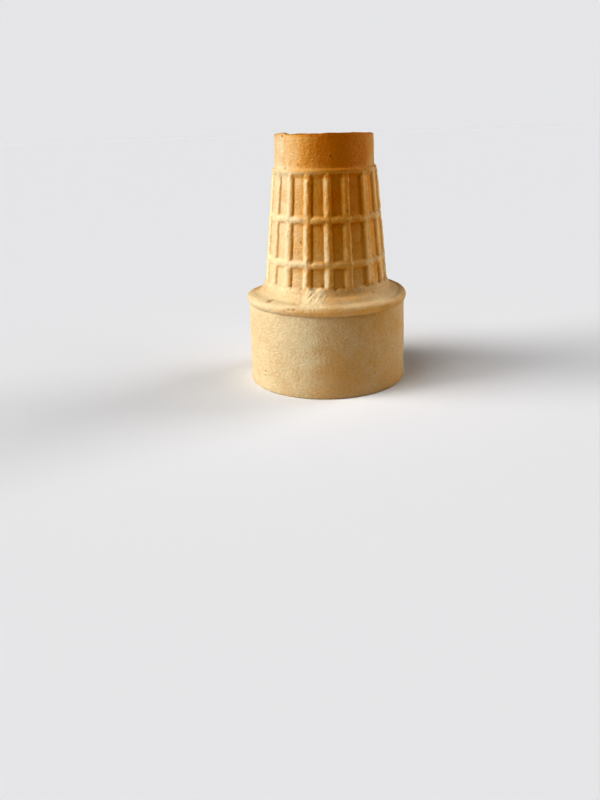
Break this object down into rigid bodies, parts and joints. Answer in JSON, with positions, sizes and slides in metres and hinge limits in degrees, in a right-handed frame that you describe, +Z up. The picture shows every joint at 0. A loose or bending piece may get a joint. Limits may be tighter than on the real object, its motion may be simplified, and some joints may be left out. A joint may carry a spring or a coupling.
{
  "type": "flat-bottomed wafer ice cream cone",
  "caption": "Hollow moulded wafer cup for ice cream, standing upside down on its wide rim, with a ribbed tapering body, a beaded mouth and a sunken foot.",
  "frame": {"origin": "middle of the rim's resting plane, at the bottom of the bounding box", "axes": "+Z up along the cone's axis, from the wide rim to the narrow foot; -Y towards the shown side"},
  "size_m": [0.054, 0.054, 0.08],
  "materials": {
    "wafer": "matt baked wafer, pale golden, toasted browner on the foot"
  },
  "bodies": {
    "root": {"wafer_cup": "wafer"}
  },
  "joints": []
}
